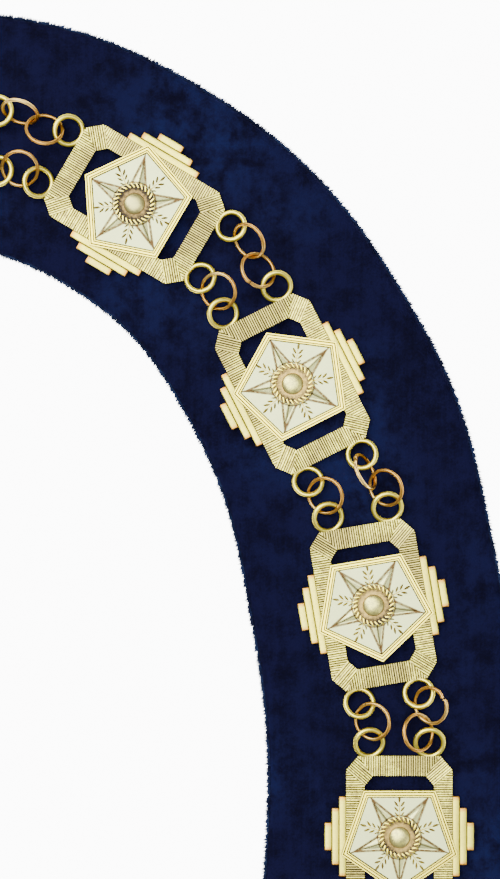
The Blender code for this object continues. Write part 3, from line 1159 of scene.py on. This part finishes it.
        # Painted shade under the rope border; the stippled ground inside it is brown toning.
        Bench.finish(ground, 30.0, lambda co, normal: (
            0.95 if co.xy.length > self.bead_ring - 0.1 * MM else 0.38, 0.70, 0.2))
        rope = []
        spot = Matrix.Translation((self.bead_ring + 0.75 * MM, 0.0, floor + 0.12 * MM))
        for number in range(self.rope_strands):
            turn = Matrix.Rotation(2 * math.pi * number / self.rope_strands, 4, "Z")
            strand = Bench.start(bpy.ops.mesh.primitive_cube_add, "strand", self.strand, size=1.0,
                                 rotation=(0.0, 0.0, math.radians(self.rope_slant)))
            bpy.ops.mesh.bevel(offset=0.16 * MM, segments=2, affect="EDGES")
            # Painted shade on the strands' sides.
            rope.append(Bench.finish(strand, 40.0, lambda co, normal: (
                0.75 if normal.z < 0.5 else 0.0, 0.2, 0.0), turn @ spot))
        return [dome, ground] + rope

    def leaf(self, place: Vector, turn: float, length: float) -> Piece:
        """Model one ridged leaf of a laurel spray.

        Args:
            place: The leaf's middle on the field.
            turn: Its direction in radians.
            length: Its length.

        Returns:
            The leaf.
        """
        leaf = Bench.start(bpy.ops.mesh.primitive_cone_add, "leaf", (1.0, 0.36, 1.0), vertices=8,
                           radius1=length / 2, radius2=0.0, depth=0.55 * MM, location=(0.0, 0.0, 0.2 * MM))
        Bench.pick_points(leaf, lambda co: abs(co.x) > length * 0.45)
        Bench.stretch(1.15)
        # Painted shade along the leaf's foot on the field.
        return Bench.finish(leaf, 20.0, lambda co, normal: (
            0.6 if co.z < place.z + 0.1 * MM else 0.0, 0.45, 0.1), turned(place, turn))

    def sprays(self) -> list[Piece]:
        """Model five laurel sprays, one between each two rays of the star.

        Returns:
            Their leaves and stems.
        """
        made = []
        height = self.field_height()
        for number in range(5):
            turn = 2 * math.pi * (number + 0.5) / 5
            if self.facing < 0:
                turn += math.pi
            out = Vector((math.cos(turn), math.sin(turn), 0.0))
            aside = Vector((-out.y, out.x, 0.0))
            for reach, lean, length in self.leaves:
                push = aside * math.copysign(self.leaf_aside, lean) if lean else Vector((0.0, 0.0, 0.0))
                spot = out * reach * MM + push
                made.append(self.leaf(Vector((spot.x, spot.y, height)), turn + lean * 0.75, length * MM))
            stem = Bench.start(bpy.ops.mesh.primitive_cylinder_add, "stem", vertices=6, radius=0.16 * MM,
                               depth=self.stem_length, rotation=(0.0, math.pi / 2, 0.0))
            Bench.pick_faces(stem, lambda co, normal: normal.x > 0.9)
            Bench.stretch(1.0, 0.4, 0.4)
            middle = out * 9.4 * MM + Vector((0.0, 0.0, height + 0.08 * MM))
            made.append(Bench.finish(stem, 40.0, lambda co, normal: (0.1, 0.5, 0.0), turned(middle, turn)))
        return made

    def end_pose(self, end: int, side: Side) -> Pose:
        """Place a soldered ring in the plaque's own frame.

        Args:
            end: 1 at the leading end and -1 at the trailing end.
            side: Which side of the chain.

        Returns:
            The ring's pose.
        """
        pitch = math.radians(self.ring_pitch)
        roll = math.radians(self.inner_ring_roll if side is Side.INNER else 0.0)
        forward = Vector((end * math.cos(pitch), 0.0, math.sin(pitch)))
        sideways = Vector((0.0, math.cos(roll), math.sin(roll)))
        square = (sideways - forward * sideways.dot(forward)).normalized()
        root = Vector((end * self.length / 2, side.value * self.ring_offset, self.thickness / 2))
        return Pose(root + forward * self.ring_reach, forward, square)

    def end_rings(self) -> list[Piece]:
        """Model the four thick rings soldered under the frame's ends, each with its bead of solder.

        Returns:
            The rings and beads.
        """
        rings = []
        height = self.thickness * 0.45
        for end in (1, -1):
            for side in Side:
                ring = Bench.start(bpy.ops.mesh.primitive_torus_add, "end_ring", major_segments=56,
                                   minor_segments=14, major_radius=self.ring_radius,
                                   minor_radius=self.ring_wire / 2)
                # Painted shade: the rings turn coppery on their sides and stay pale on top.
                rings.append(Bench.finish(ring, 60.0, lambda co, normal: (
                    0.0, 0.14 + max(0.0, 0.8 - normal.z) * 0.4, 0.0), self.end_pose(end, side).matrix()))
                aside = side.value * self.ring_offset
                middle = (end * (self.length / 2 - 0.1 * MM), aside, height)
                bead = Bench.start(bpy.ops.mesh.primitive_uv_sphere_add, "solder", segments=14, ring_count=10,
                                   radius=1.25 * MM, location=middle)
                Bench.stretch(0.75, 1.5, 0.62, (end * self.length / 2, aside, height))
                rings.append(Bench.finish(bead, 60.0, lambda co, normal: (0.2, 0.2, 0.2)))
        return rings

    def master(self, worked: bpy.types.Material, polished: bpy.types.Material) -> Piece:
        """Model the whole plaque in its own frame.

        Args:
            worked: The finish of the fluted frame, the plate and its relief.
            polished: The finish of the bars and the soldered rings.

        Returns:
            The plaque as one object.
        """
        parts = self.fluted_frame() + [self.plate(), self.star()] + self.boss() + self.sprays()
        parts = [coat(part, worked) for part in parts]
        parts += [coat(part, polished) for part in self.stepped_bars() + self.end_rings()]
        made = Bench.join(parts, "plaque_master")
        while made.data.uv_layers:
            made.data.uv_layers.remove(made.data.uv_layers[0])
        Bench.lay_map(made, self.facing, GoldFinish.map_size)
        return made

    def build(self, line: ChainLine) -> None:
        """Build the fifteen plaques along the chain line.

        Args:
            line: Where they lie.
        """
        worked = GoldFinish().material()
        polished = GoldFinish("polished_gold", True).material()
        masters = {facing: replace(self, facing=facing).master(worked, polished) for facing in (1, -1)}
        places = line.places()
        count = len(places)
        for index, (station, place) in enumerate(zip(line.stations, places)):
            turn = -math.radians(station.heading)
            spots = [(index + 1, place, turn, station.facing)]
            if index:
                spots.append((2 * count - index, mirrored(place), -turn, -station.facing))
            for number, spot, angle, facing in spots:
                made = Bench.copy(masters[facing], "dressed_plaque_%02d" % number, turned(spot, angle))
                dress(made, Slot.GOLD, "plaque_%02d" % number)
        for master in masters.values():
            Bench.discard(master)


@dataclass
class RingChains:
    """The loose rings that join the plaques: one on the neck side of each gap and a hooked pair outside."""

    plaque: Plaque
    radius: float = 6.0 * MM
    wire: float = 1.2 * MM
    turns: int = 60
    wire_sides: int = 12
    bent_ends: tuple[float, ...] = (24.0, 12.0)
    inner_lie: Lie = Lie(26.0, 0.5, 0.0)
    pairs: tuple[tuple[Lie, Lie], ...] = (
        (Lie(60.0, 0.45, 0.17), Lie(-34.0, -0.40, 0.05)),
        (Lie(48.0, 0.42, 0.13), Lie(-34.0, -0.36, 0.06)),
        (Lie(-64.0, -0.62, 0.10), Lie(34.0, 0.46, 0.04)),
        (Lie(34.0, 0.58, 0.04), Lie(-36.0, -0.62, 0.04)),
        (Lie(46.0, 0.52, 0.08), Lie(-36.0, -0.50, 0.04)),
        (Lie(46.0, 0.46, 0.08), Lie(-34.0, -0.46, 0.04)),
        (Lie(46.0, 0.46, 0.08), Lie(-34.0, -0.46, 0.04)),
        (Lie(46.0, 0.44, 0.11), Lie(-34.0, -0.42, 0.04)),
    )
    far_splits: dict[int, Split] = field(default_factory=lambda: {1: Split(-75.0, 3.0, 0.2)})
    near_splits: dict[int, Split] = field(default_factory=lambda: {
        2: Split(-155.0, 9.0, 0.3), 3: Split(103.0, 4.0, 0.55)})

    def gap(self, line: ChainLine, index: int, side: Side) -> tuple[Vector, Vector, Vector, float]:
        """Measure the line between the two end rings of a gap.

        Args:
            line: The chain line.
            index: The gap's number from the top, on the right half.
            side: Which side of the chain.

        Returns:
            Its middle, direction, outward direction and length.
        """
        places = line.places()
        last = index + 1 == len(places)
        first = line.stations[index]
        second_heading = 360.0 - first.heading if last else line.stations[index + 1].heading
        second_place = mirrored(places[index]) if last else places[index + 1]
        ends = []
        for place, heading, end in ((places[index], first.heading, 1), (second_place, second_heading, -1)):
            centre = self.plaque.end_pose(end, side).centre
            forward, outward = heading_vectors(heading)
            ends.append(place + forward * centre.x + outward * centre.y + Vector((0.0, 0.0, centre.z)))
        span = ends[1] - ends[0]
        along = span.normalized()
        return (ends[0] + ends[1]) / 2, along, Vector((-along.y, along.x, 0.0)), span.length

    def pose(self, origin: Vector, along: Vector, outward: Vector, reach: float, lie: Lie) -> Pose:
        """Place a loose ring, rolled about the line between the two end rings.

        Args:
            origin: The middle of that line.
            along: Its direction.
            outward: The level direction away from the neck.
            reach: How far along the line the ring lies.
            lie: Its roll, slide and lift.

        Returns:
            The ring's pose.
        """
        turn = math.radians(lie.roll)
        sideways = outward * math.cos(turn) + Vector((0.0, 0.0, math.sin(turn)))
        centre = origin + along * reach + sideways * lie.slide * self.radius
        return Pose(centre + Vector((0.0, 0.0, lie.lift * self.radius)), along, sideways)

    def path(self, pose: Pose) -> np.ndarray:
        """Return points along a ring's middle line."""
        turns = np.linspace(0.0, 2 * math.pi, 120, endpoint=False)
        return (np.array(pose.centre) + self.radius * (np.outer(np.cos(turns), np.array(pose.along))
                                                       + np.outer(np.sin(turns), np.array(pose.sideways))))

    def pair_poses(self, line: ChainLine, index: int) -> list[Pose]:
        """Place the two outer rings of a gap, hooked so that their wires just touch.

        Args:
            line: The chain line.
            index: The gap's number on the right half.

        Returns:
            The near and the far ring's poses.
        """
        middle, along, outward, length = self.gap(line, index, Side.OUTER)
        lies = self.pairs[index]
        halves = [self.radius * math.sqrt(1.0 - lie.slide ** 2) for lie in lies]
        low, high = 0.0, self.radius / 2
        for _ in range(20):
            hook = (low + high) / 2
            tuck = (length - 2 * halves[0] - 2 * halves[1] + hook) / 2
            reaches = (-length / 2 + tuck + halves[0], length / 2 - tuck - halves[1])
            poses = [self.pose(middle, along, outward, reach, lie) for reach, lie in zip(reaches, lies)]
            first, second = (self.path(pose) for pose in poses)
            gap = np.linalg.norm(first[:, None, :] - second[None, :, :], axis=2).min()
            if gap < self.wire:
                low = hook
            else:
                high = hook
        return poses

    def ring(self, name: str, pose: Pose, split: Split) -> Piece:
        """Spin one ring of round wire as far as its split and cap it there.

        Args:
            name: The ring's name.
            pose: Where it lies.
            split: Where its ends meet.

        Returns:
            The ring.
        """
        ring = Bench.start(bpy.ops.mesh.primitive_circle_add, name, vertices=self.wire_sides,
                           radius=self.wire / 2, location=(self.radius, 0.0, 0.0),
                           rotation=(math.pi / 2, 0.0, 0.0))
        sweep = 2 * math.pi - math.radians(split.opening)
        bpy.ops.mesh.spin(steps=self.turns, angle=sweep, center=(0.0, 0.0, 0.0), axis=(0.0, 0.0, 1.0))
        bpy.ops.mesh.select_all(action="DESELECT")
        bpy.ops.mesh.select_mode(type="EDGE")
        bpy.ops.mesh.select_non_manifold()
        bpy.ops.mesh.fill_holes(sides=0)
        if split.offset:
            for reach in self.bent_ends:
                Bench.pick_points(ring, lambda co: co.y >= -1e-6
                                  and abs(math.degrees(math.atan2(co.y, co.x))) < reach)
                bpy.ops.transform.translate(value=(-split.offset * MM / len(self.bent_ends), 0.0, 0.0))
        aim = Matrix.Rotation(math.radians(split.angle + split.opening / 2), 4, "Z")
        return Bench.finish(ring, 50.0, None, pose.matrix() @ aim)

    def build(self, line: ChainLine) -> None:
        """Build every loose ring and dress it.

        Args:
            line: The chain line.
        """
        material = WireFinish().material()
        count = len(line.stations)
        for index in range(count):
            middle, along, outward, _ = self.gap(line, index, Side.INNER)
            inner = self.pose(middle, along, outward, 0.0, self.inner_lie)
            near, far = self.pair_poses(line, index)
            rings = (("inner_ring", "inner_ring", inner, Split(185.0 + 23.0 * (index % 3))),
                     ("outer_ring_near", "outer_ring_pair", near, self.near_splits.get(index, Split())),
                     ("outer_ring_far", "outer_ring_pair", far, self.far_splits.get(index, Split(25.0))))
            for label, node, pose, split in rings:
                sides = [(index + 1, pose)]
                if index + 1 < count:
                    sides.append((2 * count - 1 - index, pose.mirrored()))
                for number, place in sides:
                    made = self.ring("%s_%02d_dressed" % (label, number), place, split)
                    dress(coat(made, material), Slot.COPPER, "%s_%02d" % (node, number))


@dataclass(frozen=True)
class Lamp:
    """A soft square light: its name, where it hangs, its side in metres and its power in watts."""

    name: str
    place: tuple[float, float, float]
    size: float
    power: float


@dataclass
class Studio:
    """The pale table, the soft lights and the camera straight above the part that the photo shows."""

    line: ChainLine
    view_centre: tuple[float, float] = (115.0 * MM, -99.2 * MM)
    view_height: float = 293.0 * MM
    lens: float = 100.0
    sensor: float = 36.0
    table_size: float = 6.0
    air: tuple[float, float, float, float] = (0.96, 0.98, 1.0, 1.0)
    air_strength: float = 0.40
    lamps: tuple[Lamp, ...] = (
        Lamp("key", (-1.0, 1.0, 1.6), 1.2, 36.0),
        Lamp("fill", (1.4, -0.7, 1.4), 1.0, 6.0),
        Lamp("overhead", (-0.15, 0.25, 2.2), 1.7, 64.0),
    )

    def table(self) -> Piece:
        """Lay the table top.

        Returns:
            The table top.
        """
        top = Bench.start(bpy.ops.mesh.primitive_plane_add, "table_top", size=self.table_size,
                          location=(0.0, 0.0, -0.05 * MM))
        coat(Bench.finish(top), TableFinish().material())
        return top

    def light(self, lamp: Lamp) -> None:
        """Add one light aimed at the collar.

        Args:
            lamp: What it is and where it hangs.
        """
        Bench.clear()
        bpy.ops.object.light_add(type="AREA", location=lamp.place)
        made = bpy.context.object
        made.name = lamp.name
        made.data.size = lamp.size
        made.data.energy = lamp.power
        made.rotation_euler = (-Vector(lamp.place)).to_track_quat("-Z", "Y").to_euler()

    def camera(self) -> None:
        """Hang the camera straight above the middle of the photo's frame."""
        Bench.clear()
        distance = self.view_height * self.lens / self.sensor
        place = (self.view_centre[0], self.line.shift + self.view_centre[1], distance + self.line.seat)
        bpy.ops.object.camera_add(location=place, rotation=(0.0, 0.0, 0.0))
        made = bpy.context.object
        made.name = "camera"
        made.data.lens = self.lens
        made.data.sensor_width = self.sensor
        bpy.context.scene.camera = made

    def build(self) -> Piece:
        """Set up the studio.

        Returns:
            The table top.
        """
        world = bpy.data.worlds.new("soft_room")
        world.use_nodes = True
        backdrop = world.node_tree.nodes["Background"]
        backdrop.inputs["Color"].default_value = self.air
        backdrop.inputs["Strength"].default_value = self.air_strength
        bpy.context.scene.world = world
        for lamp in self.lamps:
            self.light(lamp)
        self.camera()
        return self.table()


def main() -> None:
    """Build the scene piece by piece."""
    logging.basicConfig(level=logging.INFO, format="%(name)s: %(message)s")
    line = ChainLine()
    table = Studio(line).build()
    VelvetBand(line).build(table)
    plaque = Plaque()
    plaque.build(line)
    RingChains(plaque).build(line)


if __name__ == "__main__":
    main()
